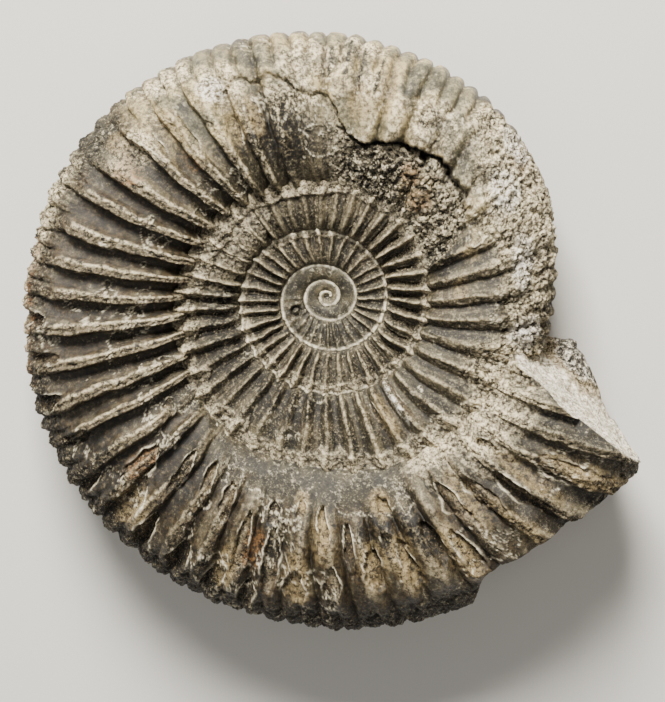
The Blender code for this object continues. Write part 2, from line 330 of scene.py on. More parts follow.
def outward(angle, station):
    """The direction straight out of the section, as its radial and its upward part."""
    r1, z1 = section(angle, np.maximum(station - SLOPE_STEP, 0.0))
    r2, z2 = section(angle, np.minimum(station + SLOPE_STEP, LOWER_SEAM))
    length = np.hypot(r2 - r1, z2 - z1)
    return (z1 - z2) / length, (r2 - r1) / length


# How ribs are shaped from one valley to the next, as shares of the way and of the height
SHARP_RIB = ((0, 0), (0.14, 0.06), (0.3, 0.5), (0.46, 0.97), (0.54, 1), (0.7, 0.55), (0.87, 0.08), (1, 0))
STEEP_RIB = (
    (0, 0), (0.12, 0.07), (0.3, 0.27), (0.46, 0.6), (0.58, 0.96), (0.64, 1), (0.78, 0.88), (0.9, 0.72),
    (0.96, 0.2), (1, 0),
)
BROAD_RIB = ((0, 0), (0.09, 0.36), (0.22, 0.78), (0.45, 1), (0.7, 0.9), (0.88, 0.45), (1, 0))

# 1 for sharp ribs that are alike on both sides and 0 for the others, as angle and share
SHARPNESS = ((-193, 1.0), (630, 1.0), (700, 0.4), (770, 0.0), (1080, 0.0))

# 1 where ribs drop sharply on their growing side, and -1 where they do so on the other side
STEEPNESS = (
    (-193, 0.0), (640, 0.0), (705, -0.5), (750, -0.5), (790, 0.0), (820, 0.4), (850, 1.0), (945, 1.0),
    (975, 0.4), (1015, 0.0), (1035, -0.9), (1080, -0.9),
)
VALLEY_DEPTH = ((-193, 0.4), (640, 0.35), (740, 0.3), (1080, 0.3))

# The station where ribs start to rise from the seam, by angle
FADE_START = (
    (-193, 0.0), (640, 0.0), (730, -0.1), (930, -0.12), (955, 0.3), (1018, 0.3), (1036, -0.1), (1080, -0.1),
)
FADE_LENGTH = 0.45

# How ribs stray from their places: share of the spacing, size in mm and pattern
WANDER = ((0.09, 6.0, 21), (0.05, 2.0, 22), (0.02, 0.8, 23))
EARLY_WANDER = ((0.16, 2.4, 24), (0.07, 0.9, 25))

# How unlike each other ribs are, and the angles over which the shell grows up and evens out
UNEVEN = 0.7
UNEVEN_LOST = 0.45
OWN_HEIGHT_PATTERN = 31
OWN_SWELL_SHARE = 0.6
OWN_SWELL = (1.8, 32)
GROWN = (300, 720)
OUTER_WHORL = (600, 720)
FIRST_RIBS = (-193, -100)
FORK_SOFTENS = 0.7

# Where a rib's rough flank and its crest are, as shares of the way or of the height
FLANK_START = (0.62, 0.72)
FLANK_END = (0.93, 0.98)
FLANK_STEEPNESS = (0.2, 0.7)
# The crest's pale line is wear with a painted highlight on it.
CREST_TOP = (0.86, 1.0)
CREST_LOST = 0.8
# The valley's dark colour is painted shade.
VALLEY_TOP = (0.0, 0.9)

# Places where the ribs are worn: angle, its half span, station, its half span, share of the height left
WORN = (
    (808, 17, 0.45, 0.7, 0.2), (452, 34, 0.8, 0.9, 0.5), (90, 40, 0.5, 0.5, 0.5), (275, 14, 0.9, 0.4, 0.5),
    (610, 30, 0.95, 0.35, 0.6), (740, 18, 1.6, 0.35, 0.7), (780, 6, 1.3, 0.15, 0.5),
    (1015, 8, 1.85, 0.45, 0.1), (865, 6, 1.62, 0.3, 0.3), (935, 4, 0.38, 0.2, 0.2),
)

# Rock that clings to the shell: angle, its half span, station, its half span, height
ROCK = (
    (510, 22, 1.0, 0.6, 0.5), (1040, 22, 0.25, 0.45, 0.9), (752, 16, 1.6, 0.5, 0.7),
    (1048, 8, 3.05, 0.5, 1.4),
)

# A patch thins out between these shares of its half span, its edge is ragged, and it ends within this many
# of them
PATCH_EDGE = (0.7, 1.3)
PATCH_RAGGED = 0.35
TINT_RAGGED = 0.6
PATCH_END = 2.2

# The sheet of shell at the far side has flaked off inside this line, as angle and station
FLAKED_EDGE = (
    (738, 0.3), (745, 0.75), (750, 1.0), (756, 1.06), (770, 1.06), (778, 1.03), (789, 0.98), (797, 0.92),
    (803, 1.02), (808, 1.18), (814, 1.24), (820, 1.34), (826, 1.32), (832, 1.36), (838, 1.2), (846, 0.9),
)
FLAKED_START = (736, 746)
FLAKED_END = (834, 842)
FLAKED_LIP = (0.0, 0.03)
FLAKED_ABOVE_SEAM = (0.02, 0.2)
FLAKED_RAGGED = 0.1
FLAKED_TEETH = 0.05
GRANULAR_END = (796, 812)
FLAKE_STEP = 0.8

# Depth of the crevice along that line, as angle and mm, and how far below the line it is and how wide, in
# stations
# The crevice is also painted near black as shade.
CREVICE = ((741, 0.0), (756, 0.3), (768, 1.1), (797, 1.0), (805, 0.3), (815, 0.5), (832, 0.4), (840, 0.0))
CREVICE_BELOW = 0.022
CREVICE_WIDTH = 0.018

# Rock left along the seams: how far it reaches in over the whorl inside, as angle and mm
SEAM_ROCK = (
    (-300, 0.2), (-100, 0.45), (0, 0.6), (150, 1.2), (200, 1.5), (300, 1.5), (345, 1.1), (420, 0.7),
    (500, 2.6), (560, 3.2), (600, 2.2), (640, 2.3), (660, 2.6), (680, 3.0), (705, 2.6),
)

# Teeth of rock that reach further in: angle, half width in degrees and mm
ROCK_TEETH = (
    (629.5, 2.6, 1.7), (637.0, 2.4, 1.7), (645, 2.5, 0.9), (598, 3.0, 1.4), (572, 3.5, 1.5), (664, 4, 0.8),
)
SEAM_ROCK_THICK = 0.55
SEAM_ROCK_RAGGED = 0.9
SEAM_ROCK_EDGE = (0.0, 0.3)
SEAM_ROCK_SIDE = 0.5
SEAM_ROCK_BELOW = 0.6
SEAM_ROCK_GROWTH = (-300, 500)
SEAM_ROCK_SHOWN = (100, 360)

# The first whorls have a thin raised line along the seam, and painted shade in the corner beside it
SEAM_LINE_PLACE = 0.2
SEAM_LINE_WIDTH = 0.16
SEAM_LINE_HEIGHT = 0.1
SEAM_LINE_SIDE = 0.4
SEAM_LINE_START = (-900, -200)
SEAM_LINE_END = (240, 420)
SEAM_LINE_STRENGTH = (0.8, 0.6)
CORNER = 0.3
CORNER_SHADE_START = (-500, -100)
CORNER_SHADE_END = (640, 720)

# Rock fills the groove between whorls: how far up and how wide, as angle and mm
SEAM_FILL = 0.5
SEAM_FILL_RAGGED = 0.3
SEAM_FILL_REACH = 1.5
SEAM_FILL_SHOWN = (0.0, 0.1)
LEAST_WIDTH = 1e-4
SEAM_WIDTH = ((-720, 0.0), (-200, 0.03), (0, 0.08), (360, 0.35), (720, 0.9), (1080, 1.6))

# Rib tops that have flaked open, as angle, the stations where the scar starts and ends, half width in
# degrees, drift in degrees towards the rim and depth
SCARS = (
    (934, 0.42, 0.62, 2.4, 1.0, 0.3), (942, 0.84, 1.2, 2.6, 0.5, 0.7), (946, 1.04, 1.45, 3.2, 0.5, 0.6),
    (950, 0.6, 0.95, 1.6, 0.6, 0.8), (957, 0.55, 0.85, 1.6, 1.0, 0.9), (964, 0.62, 0.95, 1.8, 1.0, 0.7),
    (971.5, 0.82, 1.2, 1.7, 0.8, 0.9), (977.5, 0.66, 0.86, 2.0, 0.4, 0.8), (979, 0.92, 1.3, 1.9, 0.6, 1.0),
    (985, 0.55, 0.76, 1.5, 0.4, 0.5), (991, 0.64, 0.95, 1.6, 0.6, 0.8), (997, 0.8, 1.12, 1.4, 0.6, 0.9),
    (1007, 0.5, 0.72, 1.9, 0.6, 0.6), (1006, 0.86, 1.05, 1.4, 0.4, 0.6), (1001.5, 1.0, 1.22, 2.1, 0.6, 0.8),
    (1009, 0.98, 1.22, 1.7, 0.8, 0.8), (1015.5, 0.86, 1.1, 2.0, 0.6, 1.0), (1021, 1.0, 1.32, 2.0, 1.0, 0.7),
    (985, 1.12, 1.36, 2.4, 0.0, 0.7), (992.5, 1.06, 1.3, 2.0, 0.0, 0.7), (976, 1.3, 1.6, 1.6, 0.0, 0.5),
    (969, 1.22, 1.5, 1.8, 0.0, 0.6), (961, 1.2, 1.5, 2.0, 0.0, 0.8), (953, 1.2, 1.55, 1.8, 0.0, 1.0),
    (938, 1.35, 1.7, 1.5, 0.0, 0.6), (929, 1.2, 1.5, 1.5, 0.0, 0.5), (921, 1.34, 1.7, 1.6, 0.0, 0.6),
    (912, 1.25, 1.6, 1.5, 0.0, 0.5), (904, 1.4, 1.75, 1.4, 0.0, 0.5), (1024, 0.55, 0.95, 2.0, 1.4, 0.6),
    (1030, 0.62, 1.05, 2.0, 2.0, 0.6), (1037, 0.72, 1.25, 2.0, 2.2, 0.5), (1046, 0.95, 1.5, 2.2, 2.0, 0.35),
    (1040, 0.4, 0.62, 1.8, 1.0, 0.5), (667, 0.2, 0.9, 1.5, 2.0, 0.3), (655, 0.4, 1.0, 1.5, 1.5, 0.3),
    (848, 0.95, 1.2, 2.0, 0.3, 0.5), (856, 1.05, 1.35, 1.8, 0.2, 0.4), (836, 0.85, 1.1, 1.8, 0.0, 0.5),
)
TORN_ALONG = 0.12
TORN_ACROSS = 1.6
TORN_EDGE = 0.3

# A scar is at its full width after 1 / SCAR_OPENS of its length. The pairs are where it narrows, starts,
# ends and has sides.
SCAR_OPENS = 2.6
LEAST_OPEN = 1e-6
SCAR_NARROWED = 0.5
SCAR_NARROWS = (0.7, 1.3)
SCAR_START = (0.0, 0.08)
SCAR_END = (0.85, 1.25)
SCAR_SIDE = (0.8, 0.95)
SCAR_INSIDE = (0.5, 1.0)
SCAR_REACH = (3.0, 1.0)  # how far off its points are looked for, in half widths and in degrees more
RIM_HEIGHT = 0.2
RIM_WIDTH = 0.11
RIM_START = (-0.06, 0.03)
RIM_END = (0.4, 0.8)
RIM_WHOLE = 0.3

# Plates of the outer layer are missing all over: the step down, how much of the layer is left, how much
# shorter the plates are upwards, and how wide their edge and the line along it are, as shares of the
# pattern's height
PLATE_STEP = 0.2
PLATE_LEVEL = 0.2
PLATE_SHAPE = (1, 1, 1.4)
PLATE_EDGE = (0.0, 0.02)
PLATE_LINE = 0.012

# Small pits, as angle, station, radius and depth in mm, and the ring and the floor of a pit as shares of
# its radius
PITS = ((780, 1.27, 1.3, 0.5), (-154, 0.75, 0.7, 0.6))
PIT_RING = (0.9, 0.3)
PIT_FLOOR = 0.6
PIT_FLOOR_DEPTH = 0.3

# Patches that differ from the rest, as angle, half span in degrees, station and reach
TINTS = {
    "crust": ((738, 26, 1.55, 0.4), (722, 14, 1.32, 0.22), (758, 14, 1.68, 0.3), (700, 12, 1.5, 0.5)),
    "sheet": ((800, 36, 1.55, 0.5), (768, 14, 1.25, 0.28), (842, 16, 1.4, 0.45), (748, 10, 1.2, 0.2)),
    "cream": (
        (738, 26, 1.5, 0.42), (764, 10, 1.62, 0.26), (779, 6, 1.28, 0.2), (797, 5, 1.32, 0.14),
        (813, 8, 1.5, 0.2), (818, 7, 1.16, 0.12), (834, 5, 1.36, 0.2), (846, 6, 1.66, 0.16),
        (861, 6, 1.25, 0.16), (1050, 14, 0.4, 0.34), (1030, 6, 0.25, 0.16), (900, 30, 1.9, 0.16),
        (700, 12, 1.5, 0.5), (880, 12, 1.7, 0.14), (801, 5, 1.74, 0.14),
    ),
    "ochre": (
        (798.5, 3.5, 1.18, 0.12), (793.2, 2.2, 1.46, 0.34), (829, 2.2, 1.05, 0.2), (835, 2.2, 1.0, 0.16),
        (850, 3.0, 1.22, 0.16), (862, 3.0, 1.4, 0.14), (771, 7.0, 0.7, 0.25), (820, 2.5, 1.75, 0.2),
        (990.5, 3.2, 0.85, 0.22), (985, 3.0, 1.22, 0.16), (1002, 3.2, 1.1, 0.18), (1009, 2.5, 1.1, 0.18),
        (985, 2.0, 0.6, 0.12), (1007, 2.5, 0.6, 0.14), (1020, 2.6, 1.15, 0.22), (1049, 2.4, 1.35, 0.35),
        (1042, 2.2, 0.95, 0.3), (1028, 2.0, 0.75, 0.25), (660, 3.0, 0.7, 0.3), (948, 4.0, 1.3, 0.2),
        (1033, 1.8, 1.3, 0.25), (970, 2.5, 1.3, 0.2), (740, 5.0, 0.9, 0.12), (728, 5, 0.75, 0.1),
    ),
    "stain": ((985, 34, 1.1, 0.5), (938, 24, 1.05, 0.6), (893, 34, 0.95, 0.75), (1020, 12, 1.1, 0.4)),
    "rust": (
        (865, 3.0, 1.16, 0.14), (975, 2.5, 1.04, 0.14), (767, 5.0, 0.6, 0.16), (776, 4.0, 0.8, 0.12),
        (852, 2.0, 0.9, 0.12), (942, 3.0, 1.0, 0.12), (903, 14, 1.75, 0.14), (757, 3, 1.7, 0.12),
    ),
    "dark": (
        (978, 3.0, 0.95, 0.3), (954, 2.6, 0.8, 0.3), (1016, 2.6, 0.95, 0.14), (824, 12, 0.85, 0.35),
        (868, 2.4, 1.95, 0.14), (875, 3.0, 1.85, 0.14), (890, 3.0, 1.9, 0.14), (560, 26, 0.55, 0.35),
        (784, 16, 0.5, 0.4), (610, 26, 0.5, 0.3), (966, 16, 1.6, 0.4), (940, 12, 1.5, 0.4),
        (742, 8, 0.5, 0.3), (796, 0.6, 1.45, 0.28), (800.5, 0.5, 1.45, 0.25), (804, 0.5, 1.5, 0.25),
        (808, 0.6, 1.45, 0.22), (992, 22, 1.7, 0.35), (925, 14, 1.75, 0.3), (1008, 10, 0.85, 0.16),
        (946, 5, 0.75, 0.3),
    ),
    "polish": (
        (-330, 120, 0.6, 1.2), (-120, 100, 0.6, 1.0), (988, 34, 0.3, 0.3), (1014, 7, 1.75, 0.4),
        (935, 4, 0.38, 0.18), (865, 6, 1.62, 0.28), (770, 10, 1.22, 0.2), (806, 10, 1.5, 0.2),
        (786, 4, 1.5, 0.25), (826, 6, 1.5, 0.2),
    ),
    "white": (
        (666.5, 1.5, 0.62, 0.34), (837, 2.6, 1.34, 0.1), (1029, 4.0, 2.0, 0.35), (731, 8, 1.35, 0.12),
        (712, 5, 1.5, 0.2), (752, 5, 1.35, 0.12), (760, 4, 1.75, 0.14),
    ),
}

# Where the sheet at the far side starts and ends, and where the rim is knobbly and how much
SHEET_START = (742, 758)
SHEET_END = (846, 866)
KNOBBLY_SIDE = (1.3, 1.6)
KNOBBLY = 0.6

# How grainy, how lumpy and how smooth each kind of place is
CREAM_GRAIN = 0.5
FLANK_GRAIN = 0.7
SEAM_GRAIN = 0.5
CRUST_LUMPS = 0.5
KNOBBLY_LUMPS = 0.5
POLISH = 0.5

# How relief adds up: what is lost or gained of a height, or mm
GRANULAR_WEAR = 0.75
KNOBBLY_WEAR = 0.25
CAST_RIBS = 0.3
CAST_STEP = 0.4
LEAST_ROCK = 0.02
ROCK_GRAIN = 0.25
SEAM_ROCK_GRAIN = 0.5
PLATE_LIP = 0.05
SHELL_GRAIN = 0.06
ADDED_GRAIN = 0.1
SHELL_SWELL = 0.22
BIG_LUMP = 0.6
SMALL_LUMP = 0.4
EARLY_GRAIN = 0.05
EARLY_WHORLS = (-300, 720)
STREAK_HEIGHT = 0.05

# How relief marks the surface for its finish
# Dark gaps between lumps and in pits are painted shade.
GAP_OF_BIG = 0.7
GAP_OF_SMALL = 0.4
GAP_OF_PITS = 2.5
EDGE_OF_PLATES = 0.7
GRAIN_OF_SCAR = 0.6
GRAIN_OF_PLATE = 0.3
GRAIN_INSIDE = 0.4
# The crest's pale line is wear with a painted highlight on it.
CREST_INSIDE = 0.75
CREST_BURIED = 0.6
CREST_BURIED_FROM = (940, 960)
STREAK_POLISHED = 0.7
ROCK_SHOWN = (0.05, 0.3)
VALLEYS_SHOWN = (-193, 0)


def patch(angle, station, middle, span, where, reach, ragged=0.0):
    """1 inside an oval patch of the shell, 0 outside it and smooth between."""
    distance = np.hypot((angle - middle) / span, (station - where) / reach)
    return 1 - rise(distance + ragged, *PATCH_EDGE)


def ridge(x, middle, width):
    """1 at the middle and close to 0 from two widths away on."""
    return np.exp(-(((x - middle) / width) ** 2))


class Coil:
    """The points of the coil: where each one is on the shell, and the ways out of it."""

    def __init__(self, angle, station):
        self.angle, self.station = (np.array(x, float).ravel() for x in np.broadcast_arrays(angle, station))
        self.side = near_side(self.station)
        self.upper = self.station < RIM
        self.radius, self.height = section(self.angle, self.station)
        self.out, self.up = outward(self.angle, self.station)
        self.points = self.place(0.0)
        self.ragged = rough(self.points, *RAGGED)
        self.inward = curve(SEAM_RADIUS, self.angle + WHORL) - self.radius
        self.grown = rise(self.angle, *GROWN)
        self.outer = rise(self.angle, *OUTER_WHORL)

    def place(self, lift):
        """The points in mm, moved out of the whorl by this much."""
        radius = self.radius + self.out * lift
        height = self.height + self.up * lift
        turn = np.radians(self.angle)
        return np.stack([radius * np.cos(turn), radius * np.sin(turn), height], axis=-1)

    def patches(self, places):
        """The greatest of these patches at each point, with ragged edges."""
        cover = np.zeros(len(self.angle))
        for middle, span, where, reach in places:
            near = np.abs(self.angle - middle) < PATCH_END * span
            ragged = TINT_RAGGED * self.ragged[near]
            here = patch(self.angle[near], self.station[near], middle, span, where, reach, ragged)
            cover[near] = np.maximum(cover[near], here)
        return cover

    def lumps(self, where, size, pattern):
        """Height of packed lumps of this size and the gaps between them, for painted shade, where the share
        is above 0.
        """
        height, gaps = np.zeros((2, len(self.angle)))
        chosen = where > LEAST_SHARE
        points = self.points[chosen]
        first = pattern + LUMP_BEND_PATTERN
        bends = [rough(points, LUMP_BEND_SIZE * size, first + k, *LUMP_BEND_LAYERS) for k in range(3)]
        room, number = lumps(points + LUMP_BEND * size * np.stack(bends, axis=-1), size, pattern)
        gap = 1 - rise(room + LUMP_RAGGED * self.ragged[chosen], *LUMP_GAP)
        height[chosen] = (number - LUMP_LEVEL - LUMP_GAP_DEPTH * gap) * where[chosen]
        gaps[chosen] = gap * where[chosen]
        return height, gaps


def chip(points, coil):
    """Breaks the rim away short of the wide end. Gives the share that is a broken face too."""
    radius = np.hypot(points[:, 0], points[:, 1])
    limit = curve(CHIPPED_RIM, coil.angle) - UNDERCUT * np.maximum(-points[:, 2], 0.0)
    limit = limit + CHIP_RAGGED * coil.ragged + CHIP_GRAIN * rough(coil.points, *CHIPS)
    chipped = (coil.angle > CHIPPED_RIM[0][0]) & (coil.station > UPPER_SIDE) & (coil.station < CHIPPED_BELOW)
    new = np.where(chipped, np.minimum(radius, limit), radius)
    points[:, :2] *= (new / radius)[:, None]
    return rise(radius - new, *CHIP_FACE)


def stray(points, layers):
    """Smooth random shares from a table of amounts, sizes and patterns."""
    return sum(amount * swell(points, size, pattern) for amount, size, pattern in layers)


def rib_profile(way, steep, sharp):
    """Height across a rib, from one valley to the next."""
    one_sided = np.where(steep > 0, curve(STEEP_RIB, way), curve(STEEP_RIB, 1 - way))
    blunt = np.abs(steep) * one_sided + (1 - np.abs(steep)) * curve(BROAD_RIB, way)
    return sharp * curve(SHARP_RIB, way) + (1 - sharp) * blunt


def rib_left(coil):
    """The share of a rib's height that wear has left, and that has risen from the seam."""
    left = 1.0
    for *place, share in WORN:
        left = left * (1 - (1 - share) * patch(coil.angle, coil.station, *place, PATCH_RAGGED * coil.ragged))
    start = curve(FADE_START, coil.angle)
    return left * rise(coil.side, start, start + FADE_LENGTH)


def own_height(coil, rib, way, forked):
    """How high each rib or branch is against the others."""
    branch = np.stack([rib, np.floor(way * BRANCHES) * (forked > 0.5), rib * 0], axis=-1).astype(np.int64)
    uneven = UNEVEN - UNEVEN_LOST * coil.grown
    swelling = OWN_SWELL_SHARE * uneven * swell(coil.points, *OWN_SWELL)
    return 1 + uneven * (scatter(branch, OWN_HEIGHT_PATTERN) - 0.5) + swelling


def rib_relief(coil):
    """Height of the ribs; shares of painted valley shade, rough flank and worn crest with painted highlight;
    streaks along them.
    """
    forked = rise(coil.side, *FORK_STATIONS) * (1 - rise(coil.angle, *LAST_FORKS))
    lean = curve(RIB_LEAN, coil.angle) * rise(coil.side, 0.0, RIM)
    wander = stray(coil.points, WANDER)
    early = stray(coil.points, EARLY_WANDER)
    number = rib_number(coil.angle - lean) + wander + (early - wander) * (1 - coil.grown)
    rib = np.floor(number)
    way = number - rib
    steep = curve(STEEPNESS, coil.angle) * (1 - FORK_SOFTENS * forked)
    sharp = curve(SHARPNESS, coil.angle)
    branches = forked * BRANCH_HEIGHT * rib_profile(way * BRANCHES % 1.0, steep, sharp)
    profile = (1 - forked) * rib_profile(way, steep, sharp) + branches
    own = own_height(coil, rib, way, forked)
    deep = curve(VALLEY_DEPTH, coil.angle)
    left = rib_left(coil)
    height = curve(RIB_HEIGHT, coil.angle) * ((1 + deep) * profile * own - deep) * left
    towards = np.where(steep < 0, 1 - way, way)
    flank = rise(towards, *FLANK_START) * (1 - rise(towards, *FLANK_END))
    flank = flank * rise(np.abs(steep), *FLANK_STEEPNESS)
    crest = rise(profile, *CREST_TOP) * left * rise(coil.angle, *FIRST_RIBS) * (1 - CREST_LOST * flank)
    valley = (1 - rise(profile / (1 - (1 - BRANCH_HEIGHT) * forked), *VALLEY_TOP)) * left
    lines = np.stack([number * STREAKS_ACROSS, coil.side * STREAKS_ALONG, coil.angle / WHORL], axis=-1)
    return height, valley, flank * left, crest, rough(lines, *STREAKS)


def rock_cover(coil):
    """Height of the rock that clings to the shell in patches."""
    height = np.zeros(len(coil.angle))
    for *place, top in ROCK:
        height = np.maximum(height, top * patch(coil.angle, coil.station, *place, PATCH_RAGGED * coil.ragged))
    return height


def seam_rock(coil):
    """Cover of the rock along the seam with the next whorl."""
    reach = curve(SEAM_ROCK, coil.angle) * (1 + SEAM_ROCK_RAGGED * coil.ragged)
    for angle, half, length in ROCK_TEETH:
        reach = reach + length * np.maximum(0.0, 1 - np.abs(coil.angle - angle) / half)
    here = (coil.angle < LAST_WHORL_START) & (coil.side > SEAM_ROCK_SIDE)
    cover = rise(reach - coil.inward, *SEAM_ROCK_EDGE) * here
    return np.where(coil.upper, cover, SEAM_ROCK_BELOW * cover)


def seam_line(coil):
    """The thin raised line along the seam of the first whorls."""
    line = ridge(coil.inward, SEAM_LINE_PLACE, SEAM_LINE_WIDTH) * (coil.side > SEAM_LINE_SIDE)
    steady, broken = SEAM_LINE_STRENGTH
    return line * (1 - rise(coil.angle, *SEAM_LINE_END)) * (steady + broken * coil.ragged)


def flaked_sheet(coil):
    """The share of the outer sheet that is gone at the far side, and the depth of the crevice by its edge."""
    teeth = FLAKED_TEETH * rough(coil.points, *SHEET_TEETH)
    edge = curve(FLAKED_EDGE, coil.angle) + FLAKED_RAGGED * coil.ragged + teeth
    span = rise(coil.angle, *FLAKED_START) * (1 - rise(coil.angle, *FLAKED_END))
    inside = rise(edge - coil.station, *FLAKED_LIP) * span
    gone = inside * coil.upper * rise(coil.station, *FLAKED_ABOVE_SEAM)
    lip = ridge(edge - coil.station, CREVICE_BELOW, CREVICE_WIDTH) * coil.upper * span
    return gone, np.maximum(curve(CREVICE, coil.angle), 0.0) * lip


def scars(coil):
    """Depth of the flaked rib tops, how far inside a scar each point is, and the pale rim round each one."""
    depth, inside, rim = np.zeros((3, len(coil.angle)))
    torn = rough(coil.points, *TORN)
    for angle, start, end, half, drift, deep in SCARS:
        near = (np.abs(coil.angle - angle) < SCAR_REACH[0] * half + SCAR_REACH[1]) & coil.upper
        along = (coil.station[near] + TORN_ALONG * torn[near] - start) / (end - start)
        across = (coil.angle[near] + TORN_ACROSS * coil.ragged[near] - angle - drift * along) / half
        opened = np.sqrt(np.clip(along * SCAR_OPENS, LEAST_OPEN, 1.0))
        width = opened * (1 - SCAR_NARROWED * rise(along, *SCAR_NARROWS))
        sideways = np.abs(across) / width + TORN_EDGE * torn[near]
        inner = (1 - rise(sideways, *SCAR_SIDE)) * rise(along, *SCAR_START) * (1 - rise(along, *SCAR_END))
        line = ridge(sideways, 1.0, RIM_WIDTH) * rise(along, *RIM_START) * (1 - rise(along, *RIM_END))
        depth[near] = np.maximum(depth[near], deep * inner)
        inside[near] = np.maximum(inside[near], inner)
        rim[near] = np.maximum(rim[near], line * rise(coil.ragged[near] + RIM_WHOLE, 0.0, RIM_WHOLE))
    return depth, inside, rim * (1 - rise(inside, *SCAR_INSIDE))


def plates(coil):
    """The share of the outer layer's plates that are missing, and the pale line along their edges."""
    level = rough(coil.points * PLATE_SHAPE, *PLATES) - PLATE_LEVEL
    return rise(level, *PLATE_EDGE), ridge(level, 0.0, PLATE_LINE)


def pits(coil):
    """Depth of the small pits."""
    depth = np.zeros(len(coil.angle))
    for angle, station, radius, deep in PITS:
        r, z = section(np.array([float(angle)]), np.array([station]))
        turn = math.radians(angle)
        middle = np.array([r[0] * math.cos(turn), r[0] * math.sin(turn), z[0]])
        away = np.linalg.norm(coil.points - middle, axis=-1) / radius
        depth = depth + deep * (ridge(away, *PIT_RING) + PIT_FLOOR_DEPTH * (away < PIT_FLOOR))
    return depth


def covers(coil):
    """What lies on the shell or is gone from it: shares from 0 to 1, and heights and depths in mm."""
    c = SimpleNamespace(rock=rock_cover(coil), band=seam_rock(coil), line=seam_line(coil), pits=pits(coil))
    c.ribs, c.valley, c.flank, c.crest, c.streaks = rib_relief(coil)
    c.gone, c.crevice = flaked_sheet(coil)
    c.depth, c.scar, c.rim = scars(coil)
    c.missing, c.edge = plates(coil)
    c.tints = {name: coil.patches(places) for name, places in TINTS.items()}
    c.granular = c.gone * (1 - rise(coil.angle, *GRANULAR_END))
    c.cast = c.gone - c.granular
    sheet = rise(coil.angle, *SHEET_START) * (1 - rise(coil.angle, *SHEET_END))
    c.knobbly = rise(coil.side, *KNOBBLY_SIDE) * coil.outer * KNOBBLY * (1 - sheet)
    crust = np.clip(c.tints["crust"] + c.granular + c.knobbly, 0, 1) * coil.outer
    c.grain = crust + CREAM_GRAIN * c.tints["cream"] + FLANK_GRAIN * c.flank + SEAM_GRAIN * c.band
    c.grain = np.clip(c.grain, 0, 1)
    c.rugged = np.clip(c.granular + CRUST_LUMPS * crust + KNOBBLY_LUMPS * c.knobbly, 0, 1)
    c.smooth = 1 - POLISH * c.tints["polish"]
    return c


def relief(coil, c):
    """Height of each point over the bare whorl. Keeps how much rock lies on it, and the gaps between lumps
    and the pits for painted shade.
    """
    fine = rough(coil.points, *FINE_HUMPS)
    coarse = rough(coil.points, *COARSE_HUMPS)
    worn = (1 - GRANULAR_WEAR * c.granular) * (1 + CAST_RIBS * c.cast) * (1 - KNOBBLY_WEAR * c.knobbly)
    lift = c.ribs * worn
    c.over = np.where(c.rock > LEAST_ROCK, np.maximum(c.rock - lift, 0.0), 0.0)
    lift = lift + c.over * (1 + ROCK_GRAIN * fine)
    thick = SEAM_ROCK_THICK * (1 + SEAM_ROCK_GRAIN * fine) * rise(coil.angle, *SEAM_ROCK_GROWTH)
    lift = lift + c.band * thick - FLAKE_STEP * (c.gone - CAST_STEP * c.cast) - c.crevice
    lift = lift - c.depth * curve(RIB_HEIGHT, coil.angle) + RIM_HEIGHT * c.rim
    grain = (SHELL_GRAIN + ADDED_GRAIN * c.grain) * fine + SHELL_SWELL * coarse
    lift = lift + coil.grown * c.smooth * (grain - PLATE_STEP * c.missing + PLATE_LIP * c.edge)
    big, big_gaps = coil.lumps(c.rugged, *BIG_LUMPS)
    small, small_gaps = coil.lumps(c.grain, *SMALL_LUMPS)
    c.gaps = GAP_OF_BIG * big_gaps + GAP_OF_SMALL * small_gaps + GAP_OF_PITS * c.pits
    lift = lift + BIG_LUMP * big + SMALL_LUMP * small - c.pits
    lift = lift + rise(coil.angle, *EARLY_WHORLS) * (1 - coil.grown) * EARLY_GRAIN * fine
    lift = lift + STREAK_HEIGHT * coil.grown * c.streaks * (1 - c.tints["polish"])
    return lift + SEAM_LINE_HEIGHT * c.line * rise(coil.angle, *SEAM_LINE_START)


def sculpt(coil):
    """The points lifted by their ribs, rock, flakes and grain, and the marks that the finish reads."""
    c = covers(coil)
    lift = relief(coil, c)
    grown, early = coil.grown, 1 - coil.grown
    inside = rise(coil.angle, *FIRST_RIBS)
    corner = 1 - np.clip(coil.side / CORNER, 0, 1)
    flakes = EDGE_OF_PLATES * c.edge * grown * c.smooth
    crest = c.crest * (1 - c.granular) * (CREST_INSIDE + (1 - CREST_INSIDE) * coil.outer)
    grainy = c.grain + c.granular + GRAIN_OF_SCAR * c.scar + GRAIN_OF_PLATE * c.missing * grown
    marks = {
        "rock": np.maximum(c.band, rise(c.over, *ROCK_SHOWN)),
        "granular": c.granular,
        "scar": c.scar,
        "edge": np.maximum(np.maximum(c.rim, flakes), c.line),
        "streak": 0.5 + c.streaks * (1 - STREAK_POLISHED * c.tints["polish"]),
        "early": early,
        # painted shade in the corner by the seam
        "dirt": corner * (1 - rise(coil.angle, *CORNER_SHADE_END)) * rise(coil.angle, *CORNER_SHADE_START),
        "plate": c.missing * grown,
        "flank": c.flank,
        # painted shade in the valleys between ribs
        "valley": c.valley * rise(coil.angle, *VALLEYS_SHOWN),
        # pale line of worn crests, with a painted highlight
        "crest": crest * (1 - CREST_BURIED * rise(coil.angle, *CREST_BURIED_FROM)),
        "grainy": grainy + GRAIN_INSIDE * (1 - coil.outer) * rise(coil.angle, *VALLEYS_SHOWN),
        # painted shade in the crevice
        "crevice": c.crevice,
        # painted shade in the gaps between lumps and in pits
        "gap": c.gaps,
        **c.tints,
    }
    marks = {name: np.clip(value, 0, 1) for name, value in marks.items()}
    marks["angle"] = coil.angle
    points = coil.place(lift)
    marks["chip"] = chip(points, coil)
    return points, marks


